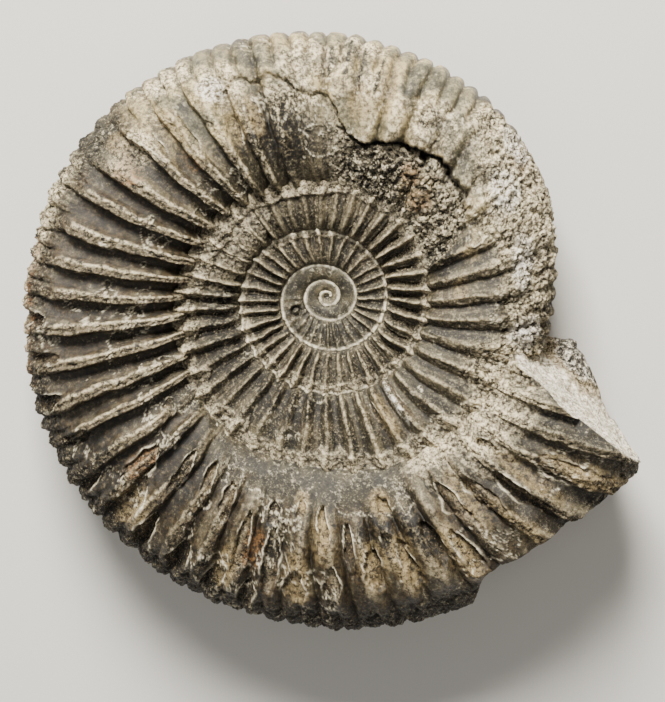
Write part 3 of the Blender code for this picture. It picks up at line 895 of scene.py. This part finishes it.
def fill_seams(points, coil):
    """Rock fills the groove between each whorl and the next one. Gives the share that is rock."""
    on_inner = (coil.angle < LAST_WHORL_START) & (coil.side > UPPER_SIDE)
    away = np.where(on_inner, coil.inward, coil.radius - curve(SEAM_RADIUS, coil.angle))
    seam_angle = np.where(on_inner, coil.angle + WHORL, coil.angle)
    level = SEAM_SHARE * curve(HALF_THICKNESS, seam_angle - WHORL)
    size = curve(SEAM_WIDTH, seam_angle) + LEAST_WIDTH
    hump = level + SEAM_FILL * size * (1 - (away / size) ** 2) + SEAM_FILL_RAGGED * size * coil.ragged
    filled = (on_inner | (coil.side < UPPER_SIDE)) & (np.abs(away) < SEAM_FILL_REACH * size)
    height = np.abs(points[:, 2])
    raised = np.where(filled, np.maximum(height, hump), height)
    points[:, 2] = np.where(coil.upper, raised, -raised)
    return rise(raised - height, *SEAM_FILL_SHOWN)


def column_angles():
    """Angles of the columns of points, to a degree past the end and closer where the whorl is wide."""
    step = FULL_STEP
    angles = [COIL_START]
    end = BREAK_EDGE[0][1] + 1
    while angles[-1] < end:
        inner = angles[-1] < LAST_WHORL_START
        radius = float(curve(SEAM_RADIUS, angles[-1] + WHORL) if inner else curve(RIM_RADIUS, angles[-1]))
        share = INNER_SHARE if inner else 1.0
        angles.append(angles[-1] + math.degrees(step * share / max(radius, LEAST_RADIUS)))
    return np.array(angles)


def row_stations():
    """Stations of the rows, close together on the upper side."""
    share = 1.0
    parts = [np.linspace(low, high, int(count * share), endpoint=False) for low, high, count in ROWS]
    return np.concatenate(parts + [[ROWS[-1][1]]])


def grid_faces(columns, rows, index):
    """Triangles of the grid between these columns and rows."""
    i = np.arange(*columns)[:, None]
    j = np.arange(*rows)[None, :]
    a, b, c, d = (x.ravel() for x in (index[i, j], index[i + 1, j], index[i + 1, j + 1], index[i, j + 1]))
    return np.concatenate([np.stack([a, b, c], axis=-1), np.stack([a, c, d], axis=-1)])


def zip_rows(inner, outer, angle_of):
    """Triangles between two rows of points that follow one seam, each in order of angle."""
    faces = []
    i = j = 0
    while i < len(inner) - 1 or j < len(outer) - 1:
        step_inner = j == len(outer) - 1
        if not step_inner and i < len(inner) - 1:
            step_inner = angle_of[inner[i + 1]] + WHORL <= angle_of[outer[j + 1]]
        if step_inner:
            faces.append((inner[i], inner[i + 1], outer[j]))
            i += 1
        else:
            faces.append((inner[i], outer[j + 1], outer[j]))
            j += 1
    return faces


def chunk(radius, height):
    """1 at the middle of the chunk of dark rock that stands out of the broken end, 0 away from it."""
    across = (radius - CHUNK_MIDDLE[0]) / CHUNK_REACH[0]
    upwards = (height - CHUNK_MIDDLE[1]) / CHUNK_REACH[1]
    return np.exp(-(across**2) - upwards**2)


def end_cap(points, rim, first):
    """Rings of points over the broken end, and their faces."""
    edge = points[rim]
    radius = np.hypot(edge[:, 0], edge[:, 1])
    turn = np.unwrap(np.arctan2(edge[:, 1], edge[:, 0]))
    added, faces = [], []
    previous = np.array(rim)
    for inwards in np.arange(1, END_RINGS) / END_RINGS:
        blend = min(1.0, EDGE_BLEND * inwards)
        r = radius + (END_MIDDLE[0] - radius) * inwards
        z = edge[:, 2] + (END_MIDDLE[1] - edge[:, 2]) * inwards
        reach = (BULGE + BULGE_BELOW * rise(-z, *BULGE_DEPTHS)) * math.sin(math.pi / 2 * inwards)
        reach = reach + CHUNK_OUT * chunk(r, z) * blend
        a = turn + (turn.mean() - turn) * inwards + reach / r
        ring = np.stack([r * np.cos(a), r * np.sin(a), z], axis=-1)
        grain = END_GRAIN_HEIGHT * rough(ring, *END_GRAIN) + END_SWELL_HEIGHT * rough(ring, *END_SWELL)
        grain = (grain - END_SET_BACK) * blend
        ring[:, 0] -= grain * np.sin(a)
        ring[:, 1] += grain * np.cos(a)
        added.append(ring)
        current = first + np.arange(len(rim))
        first += len(rim)
        back, on = np.roll(previous, 1), np.roll(current, 1)
        faces += [np.stack([back, previous, current], axis=-1), np.stack([back, current, on], axis=-1)]
        previous = current
    a = turn.mean() + (BULGE + BULGE_BELOW / 2) / END_MIDDLE[0]
    middle = np.array([[END_MIDDLE[0] * math.cos(a), END_MIDDLE[0] * math.sin(a), END_MIDDLE[1]]])
    faces.append(np.stack([np.roll(previous, 1), previous, np.full(len(rim), first)], axis=-1))
    return np.concatenate(added + [middle]), np.concatenate(faces)


def lay_down(points):
    """Turns the coil on to its lower side, wears off what would reach below the surface, and gives metres."""
    tilt = math.radians(LEAN_DEG)
    turn = math.radians(LEAN_TOWARDS_DEG)
    axis = np.array([-math.sin(turn), math.cos(turn), 0.0])
    cross = np.cross(axis, points)
    along = (points @ axis)[:, None] * axis
    points = points * math.cos(tilt) + cross * math.sin(tilt) + along * (1 - math.cos(tilt))
    points = points + np.array([AXIS_OFFSET[0], AXIS_OFFSET[1], LIFT])
    points[:, 2] = np.maximum(points[:, 2], 0.0)
    return points * MM


def centre(index, second, shown, low, first):
    """A point over the first chamber on each side, and the fans of faces round them."""
    middles, fans = [], []
    for side, seam, outside, step in ((1, 0, shown + 1, 1), (-1, index.shape[1] - 1, low - 1, -1)):
        start = [index[0, j] for j in range(seam, outside, step)]
        loop = np.array(list(index[: second + 1, seam]) + start[:0:-1])
        middle = np.full(len(loop), first + len(middles))
        middles.append((0.0, 0.0, CENTRE_HEIGHT * side))
        fans.append(np.stack([np.roll(loop, 1), loop, middle], axis=-1))
    return np.array(middles), fans


def mark_end(marks, points, first):
    """Marks the broken end: pale rock, dark rock below, and the chunk with its rusty edge and white spots."""
    end = points[first:]
    marks["angle"][first:] = BREAK_EDGE[0][1]
    marks["broken"] = (np.arange(len(points)) >= first).astype(float)
    below = 1 - rise(end[:, 2] + DARK_ROCK_RAGGED * rough(end, *DARK_ROCK_EDGE), *DARK_ROCK_TOP)
    standing = chunk(np.hypot(end[:, 0], end[:, 1]), end[:, 2]) + CHUNK_RAGGED * rough(end, *CHUNK_EDGE)
    marks["dark"][first:] = np.maximum(below, rise(standing, *CHUNK_DARK))
    marks["ochre"][first:] = rise(standing, *CHUNK_RUST) * (1 - rise(standing, *CHUNK_RUST_ENDS))
    marks["white"][first:] = rise(rough(end, *WHITE_SPOTS), *WHITE_SPOT) * rise(standing, *CHUNK_SPOTTED)
    marks["grainy"][first:] = 1.0


def coil_mesh():
    """Points in mm, triangles and marks of the whole fossil before it is thinned out."""
    angles, stations = column_angles(), row_stations()
    coil = Coil(np.minimum(angles[:, None], curve(BREAK_EDGE, stations)[None, :]), stations[None, :])
    points, marks = sculpt(coil)
    filled = fill_seams(points, coil)
    marks["rock"] = np.maximum(marks["rock"], filled * rise(coil.angle, *SEAM_ROCK_SHOWN))
    index = np.arange(len(points)).reshape(len(angles), len(stations))
    count, rows = index.shape
    shown = int(np.searchsorted(stations, SHOWN_REACH))
    low = int(np.searchsorted(stations, LOWER_SEAM - SHOWN_REACH))
    last_start = int(np.argmin(np.abs(angles - LAST_WHORL_START)))
    second = int(np.argmin(np.abs(angles - COIL_START - WHORL)))
    triangles = [
        grid_faces((0, count - 1), (0, shown), index),
        grid_faces((0, count - 1), (low, rows - 1), index),
        grid_faces((last_start, count - 1), (shown, low), index),
    ]
    for outside, seam in ((shown, 0), (low, rows - 1)):
        between = zip_rows(index[: last_start + 1, outside], index[second:, seam], coil.angle)
        triangles.append(np.array(between))
    middles, fans = centre(index, second, shown, low, len(points))
    first = len(points) + len(middles)
    rim = list(index[-1]) + list(index[last_start, shown : low + 1][::-1])
    added, cap = end_cap(points, rim, first)
    points = np.concatenate([points, middles, added])
    extra = len(points) - len(coil.angle)
    marks = {name: np.concatenate([value, np.zeros(extra)]) for name, value in marks.items()}
    mark_end(marks, points, first)
    return points, np.concatenate(triangles + fans + [cap]), marks


def joined(points, triangles, marks):
    """Joins points that are in the same place and drops what that leaves flat."""
    places = np.round(points / SAME_PLACE).astype(np.int64)
    kept, first, back = np.unique(places, axis=0, return_index=True, return_inverse=True)
    triangles = back.ravel()[triangles]
    a, b, c = triangles.T
    triangles = triangles[(a != b) & (b != c) & (c != a)]
    return points[first], triangles, {name: value[first] for name, value in marks.items()}


def new_mesh(name, points, triangles, marks):
    """A mesh of these triangles, with its marks as attributes."""
    mesh = bpy.data.meshes.new(name)
    mesh.vertices.add(len(points))
    mesh.vertices.foreach_set("co", points.astype(np.float32).ravel())
    mesh.loops.add(triangles.size)
    mesh.loops.foreach_set("vertex_index", triangles.astype(np.int32).ravel())
    mesh.polygons.add(len(triangles))
    mesh.polygons.foreach_set("loop_start", np.arange(0, triangles.size, 3, dtype=np.int32))
    mesh.update(calc_edges=True)
    for mark, value in marks.items():
        mesh.attributes.new(mark, "FLOAT", "POINT").data.foreach_set("value", value.astype(np.float32))
    return mesh


def whole_mesh():
    """The fossil as one closed mesh with its faces outwards, thinned out where it is flat."""
    points, triangles, marks = joined(*coil_mesh())
    piece = bpy.data.objects.new("whole", new_mesh("whole", lay_down(points), triangles, marks))
    bpy.context.scene.collection.objects.link(piece)
    modifier = piece.modifiers.new("thin out", "DECIMATE")
    most = MOST_TRIANGLES
    modifier.ratio = min(1.0, most / len(triangles))
    graph = bpy.context.evaluated_depsgraph_get()
    mesh = bpy.data.meshes.new_from_object(piece.evaluated_get(graph))
    bpy.data.objects.remove(piece)
    model = bmesh.new()
    model.from_mesh(mesh)
    bmesh.ops.triangulate(model, faces=model.faces)
    bmesh.ops.recalc_face_normals(model, faces=model.faces)
    model.to_mesh(mesh)
    model.free()
    return mesh


def read(collection, name, width, kind):
    """One property of all the members, as an array."""
    values = np.empty(len(collection) * width, kind)
    collection.foreach_get(name, values)
    return values.reshape(-1, width) if width > 1 else values


def cut_up(mesh):
    """Pieces of the mesh, one for each stretch of the coil, with the shading of the whole."""
    points = read(mesh.vertices, "co", 3, np.float32)
    low, high = (np.array(corner) for corner in CAD_BOX)
    points = np.clip(points, low, high)
    normals = read(mesh.vertices, "normal", 3, np.float32)
    triangles = read(mesh.loops, "vertex_index", 1, np.int32).reshape(-1, 3)
    marks = {a.name: read(a.data, "value", 1, np.float32) for a in mesh.attributes if a.data_type == "FLOAT"}
    stretch = marks["angle"][triangles].max(axis=1)
    for name, start, end in STRETCHES:
        chosen = triangles[(stretch >= start) & (stretch < end)]
        used, index = np.unique(chosen, return_inverse=True)
        mine = {mark: value[used] for mark, value in marks.items() if mark != "angle"}
        piece = new_mesh(name, points[used], index.reshape(-1, 3), mine)
        piece.shade_smooth()
        piece.normals_split_custom_set_from_vertices(normals[used].tolist())
        yield name, piece


def linear(code):
    """An sRGB hex colour as linear RGBA."""
    parts = [int(code[k : k + 2], 16) / 255 for k in (0, 2, 4)]
    return [c / 12.92 if c < 0.04045 else ((c + 0.055) / 1.055) ** 2.4 for c in parts] + [1.0]


def add(tree, kind, settings=None, **links):
    """Adds a node with its settings and its inputs' values or links, where i0 is its first input."""
    node = tree.nodes.new(kind)
    for name, value in (settings or {}).items():
        setattr(node, name, value)
    for name, value in links.items():
        key = int(name[1:]) if name[0] == "i" and name[1:].isdigit() else name.replace("_", " ")
        if isinstance(value, bpy.types.NodeSocket):
            tree.links.new(value, node.inputs[key])
        else:
            node.inputs[key].default_value = value
    return node


# What breaks the colours up: size in mm, detail and how rough it is. Stained areas are about 9 mm wide and
# blotches about 2 mm. Crystals and grains of mud are under 0.1 mm, too fine to show, so they are drawn at
# 0.7 and 0.3 mm.
PATTERNS = {
    "coarse": (9.0, 6.0, 0.6), "medium": (2.2, 8.0, 0.7), "fine": (0.7, 6.0, 0.85), "speck": (0.3, 3.0, 0.8),
}
BASE = (0.38, 0.62, "17150f", "423d2f")
GRAIN = (0.42, 0.57)

# The layers of the finish: where each one is, how much of it, what breaks it up and between which values, and
# the colours of its dark and its light grains
FINISH = (
    ("", 0.6, "coarse", 0.46, 0.64, "2e2617", "4c3e27"),
    ("", 0.4, "streak", 0.54, 0.7, "6e644d", "93876b"),
    ("", 0.6, "streak", 0.46, 0.3, "0e0c08", "1a160f"),
    ("", 0.4, "fine", 0.56, 0.62, "968a6f", "c0b391"),
    ("", 0.3, "speck", 0.54, 0.66, "b3a688", "d4c8a8"),
    ("early", 0.2, "medium", 0.5, 0.62, "6e644f", "8d8168"),
    ("plate", 0.4, "fine", 0.3, 0.4, "18140c", "292317"),
    ("flank", 0.8, "medium", 0.36, 0.46, "1c1811", "84785f"),
    ("scar", 0.8, "fine", 0.3, 0.4, "1a140b", "5a4a32"),
    ("sheet", 0.9, "medium", 0.36, 0.46, "7c7052", "d2be8c"),
    ("sheet", 0.75, "coarse", 0.54, 0.46, "3e3f34", "6c6a57"),
    ("stain", 0.85, "medium", 0.62, 0.46, "120e08", "4a3c26"),
    ("rock", 1.0, "fine", 0.2, 0.3, "3b3428", "cbbe9f"),
    # pale line of worn crests, with a painted highlight
    ("crest", 0.65, "fine", 0.4, 0.52, "857759", "ecdcb6"),
    ("cream", 0.8, "fine", 0.4, 0.5, "4c402a", "ffefc8"),
    ("granular", 1.0, "fine", 0.2, 0.3, "211d16", "d8cbac"),
    ("broken", 1.0, "fine", 0.2, 0.3, "7f735d", "fff6e2"),
    ("chip", 1.0, "fine", 0.2, 0.3, "54492f", "a3957a"),
    ("dark", 1.0, "fine", 0.62, 0.48, "100e0a", "231f17"),
    ("polish", 0.75, "medium", 0.58, 0.46, "1c1a14", "3b382d"),
    ("polish", 0.5, "fine", 0.56, 0.64, "a89c80", "e6dabc"),
    ("ochre", 0.6, "fine", 0.4, 0.54, "7f6845", "b09c70"),
    ("rust", 0.7, "fine", 0.46, 0.58, "6b4526", "946a42"),
    # painted shade in the gaps between lumps and in pits
    ("gap", 1.0, "fine", 0.6, 0.46, "17130d", "2b251a"),
    # painted shade in the corner by the seam
    ("dirt", 0.85, "fine", 0.64, 0.46, "0e0c08", "191610"),
    # painted shade in the valleys between ribs
    ("valley", 0.65, "fine", 0.7, 0.5, "12100a", "26211a"),
    ("grainy", 0.45, "speck", 0.48, 0.38, "14110c", "201c14"),
    ("grainy", 0.6, "speck", 0.57, 0.68, "e2d2a8", "ffeec8"),
    ("edge", 0.95, "fine", 0.36, 0.46, "c9bd9f", "fff6dc"),
    ("white", 0.7, "fine", 0.47, 0.55, "d8cdb6", "fffaf0"),
    # painted shade in the crevice
    ("crevice", 1.0, "fine", 0.2, 0.3, "070605", "0d0b09"),
)

# Calcite bends light by 1.49 to 1.66. Rubbed faces keep a dull polish, and split and rocky ones are matt.
CALCITE_IOR = 1.5
SPECULAR_LEVEL = 0.42
RUBBED_ROUGHNESS = 0.38
SPLIT_ROUGHNESS = 0.8
RUBBED_BUMP = 0.7
SPLIT_BUMP = 1.0
BUMP_MM = 0.35
BUMP_OF_FINE = 0.6
BUMP_OF_SPECK = 0.4


def fossil_calcite():
    """Shell turned to calcite, stained by mud and iron, rubbed, split by weather and crusted with mudstone:
    dull dark faces, pale broken edges and matt grainy rock."""
    # The colours also paint shade into rib valleys, gaps between lumps, pits, the crevice and the seam
    # corners, and a highlight on the worn crests.
    material = bpy.data.materials.new("weathered fossil calcite")
    material.use_nodes = True
    tree = material.node_tree
    shader = tree.nodes["Principled BSDF"]
    smooth = {"interpolation_type": "SMOOTHSTEP"}
    product = {"operation": "MULTIPLY"}
    total = {"operation": "ADD"}
    colour = {"data_type": "RGBA"}

    names = {layer[0] for layer in FINISH if layer[0]} | {"streak", "broken"}
    marks = {}
    for name in sorted(names):
        marks[name] = add(tree, "ShaderNodeAttribute", {"attribute_name": name}).outputs["Fac"]
    place = add(tree, "ShaderNodeTexCoord").outputs["Object"]
    patterns = {"streak": marks["streak"]}
    for name, (size, detail, uneven) in PATTERNS.items():
        noise = add(
            tree, "ShaderNodeTexNoise", Vector=place, Scale=1 / MM / size, Detail=detail, Roughness=uneven
        )
        patterns[name] = noise.outputs["Fac"]

    grain = add(
        tree, "ShaderNodeMapRange", smooth, Value=patterns["fine"], From_Min=GRAIN[0], From_Max=GRAIN[1]
    ).outputs["Result"]
    low, high, dark, light = BASE
    spread = add(tree, "ShaderNodeMapRange", smooth, Value=patterns["medium"], From_Min=low, From_Max=high)
    base = add(tree, "ShaderNodeMix", colour, i0=spread.outputs["Result"], i6=linear(dark), i7=linear(light))
    shell = base.outputs[2]
    for where, share, pattern, low, high, dark, light in FINISH:
        spread = add(tree, "ShaderNodeMapRange", smooth, Value=patterns[pattern], From_Min=low, From_Max=high)
        amount = add(tree, "ShaderNodeMath", product, i0=spread.outputs["Result"], i1=share)
        if where:
            amount = add(tree, "ShaderNodeMath", product, i0=marks[where], i1=amount.outputs[0])
        layer = add(tree, "ShaderNodeMix", colour, i0=grain, i6=linear(dark), i7=linear(light))
        mixed = add(tree, "ShaderNodeMix", colour, i0=amount.outputs[0], i6=shell, i7=layer.outputs[2])
        shell = mixed.outputs[2]
    tree.links.new(shell, shader.inputs["Base Color"])
    shader.inputs["Metallic"].default_value = 0.0
    shader.inputs["IOR"].default_value = CALCITE_IOR
    shader.inputs["Specular IOR Level"].default_value = SPECULAR_LEVEL

    split = add(tree, "ShaderNodeMath", total, i0=marks["grainy"], i1=marks["broken"]).outputs[0]
    roughness = add(tree, "ShaderNodeMapRange", Value=split, To_Min=RUBBED_ROUGHNESS, To_Max=SPLIT_ROUGHNESS)
    tree.links.new(roughness.outputs["Result"], shader.inputs["Roughness"])
    strength = add(tree, "ShaderNodeMapRange", Value=split, To_Min=RUBBED_BUMP, To_Max=SPLIT_BUMP)
    fine = add(tree, "ShaderNodeMath", product, i0=patterns["fine"], i1=BUMP_OF_FINE)
    speck = add(tree, "ShaderNodeMath", product, i0=patterns["speck"], i1=BUMP_OF_SPECK)
    height = add(tree, "ShaderNodeMath", total, i0=fine.outputs[0], i1=speck.outputs[0])
    bumped = add(
        tree, "ShaderNodeBump", Height=height.outputs[0], Strength=strength.outputs["Result"],
        Distance=BUMP_MM * MM,
    )
    tree.links.new(bumped.outputs["Normal"], shader.inputs["Normal"])
    return material


def make_ammonite():
    """The whole fossil, as a piece for each stretch of its coil."""
    stone = fossil_calcite()
    for name, mesh in cut_up(whole_mesh()):
        piece = bpy.data.objects.new(name, mesh)
        bpy.context.scene.collection.objects.link(piece)
        mesh.materials.append(stone)
        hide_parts("ammonite")
        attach(piece, "root")


# The photograph's view, in the coil's own frame: how far the camera leans from straight above and which way,
# how far off it is, and how long its lens is for a 36 mm frame
CAMERA_TILT_DEG = 12.0
CAMERA_TOWARDS_DEG = 60.0
CAMERA_PLACE = (37.385, 55.424, 344.944)
FRAME_WIDTH = 36.0
PICTURE_HEIGHT_PX = 702
MM_PER_PX = 0.143
CAMERA_DISTANCE = 350.0
AXIS_STEP = 10.0  # how far along each of the camera's axes it is laid down too
FOCUS_PX = CAMERA_DISTANCE / MM_PER_PX


def make_camera():
    """Looks at the fossil from the photograph's side, nearly straight down."""
    tilt, towards = math.radians(CAMERA_TILT_DEG), math.radians(CAMERA_TOWARDS_DEG)
    back = np.array([math.sin(tilt) * math.cos(towards), math.sin(tilt) * math.sin(towards), math.cos(tilt)])
    right = np.cross(-back, (0.0, 1.0, 0.0))
    right /= np.linalg.norm(right)
    up = np.cross(right, -back)
    steps = [AXIS_STEP * axis for axis in (right, up, back)]
    placed = lay_down(np.array(CAMERA_PLACE) + np.array([(0.0, 0.0, 0.0), *steps]))
    axes = [(end - placed[0]) / np.linalg.norm(end - placed[0]) for end in placed[1:]]
    lens = bpy.data.cameras.new("camera")
    lens.sensor_fit = "AUTO"
    lens.sensor_width = FRAME_WIDTH
    lens.lens = FRAME_WIDTH * FOCUS_PX / PICTURE_HEIGHT_PX
    camera = bpy.data.objects.new("camera", lens)
    camera.matrix_world = Matrix.Translation(placed[0]) @ Matrix(axes).transposed().to_4x4()
    bpy.context.scene.collection.objects.link(camera)
    bpy.context.scene.camera = camera


FLOOR_WIDTH = 4.0
FLOOR_COLOUR = "d9d7d2"
FLOOR_ROUGHNESS = 0.9


def make_floor():
    """Matt background paper, rolled out flat: pale, without gloss and without a pattern."""
    bpy.ops.mesh.primitive_plane_add(size=FLOOR_WIDTH)
    floor = bpy.context.object
    floor.name = "floor"
    paper = bpy.data.materials.new("matt background paper")
    paper.use_nodes = True
    shader = paper.node_tree.nodes["Principled BSDF"]
    shader.inputs["Base Color"].default_value = linear(FLOOR_COLOUR)
    shader.inputs["Roughness"].default_value = FLOOR_ROUGHNESS
    floor.data.materials.append(paper)


# Soft boxes: name, place and width in metres, watts and colour
LIGHTS = (
    ("key light", (-0.08, 0.6, 0.45), 0.3, 21.5, (1.0, 0.96, 0.88)),
    ("fill light", (-0.3, -0.3, 0.9), 0.8, 1.5, (1.0, 0.98, 0.95)),
)
ROOM_COLOUR = "efece6"
ROOM_STRENGTH = 0.3


def make_light(name, place, size, power, colour):
    """A square soft box that faces the middle of the fossil."""
    lamp = bpy.data.lights.new(name, "AREA")
    lamp.size = size
    lamp.energy = power
    lamp.color = colour
    light = bpy.data.objects.new(name, lamp)
    light.location = place
    direction = -np.array(place)
    light.rotation_euler = (
        math.atan2(math.hypot(direction[0], direction[1]), -direction[2]),
        0.0,
        math.atan2(-direction[0], direction[1]),
    )
    bpy.context.scene.collection.objects.link(light)


def light_studio():
    """The soft boxes, and a pale room that fills the shadows."""
    for light in LIGHTS:
        make_light(*light)
    room = bpy.data.worlds.new("studio")
    bpy.context.scene.world = room
    room.use_nodes = True
    room.node_tree.nodes["Background"].inputs["Color"].default_value = linear(ROOM_COLOUR)
    room.node_tree.nodes["Background"].inputs["Strength"].default_value = ROOM_STRENGTH


make_camera()
make_ammonite()
make_floor()
light_studio()
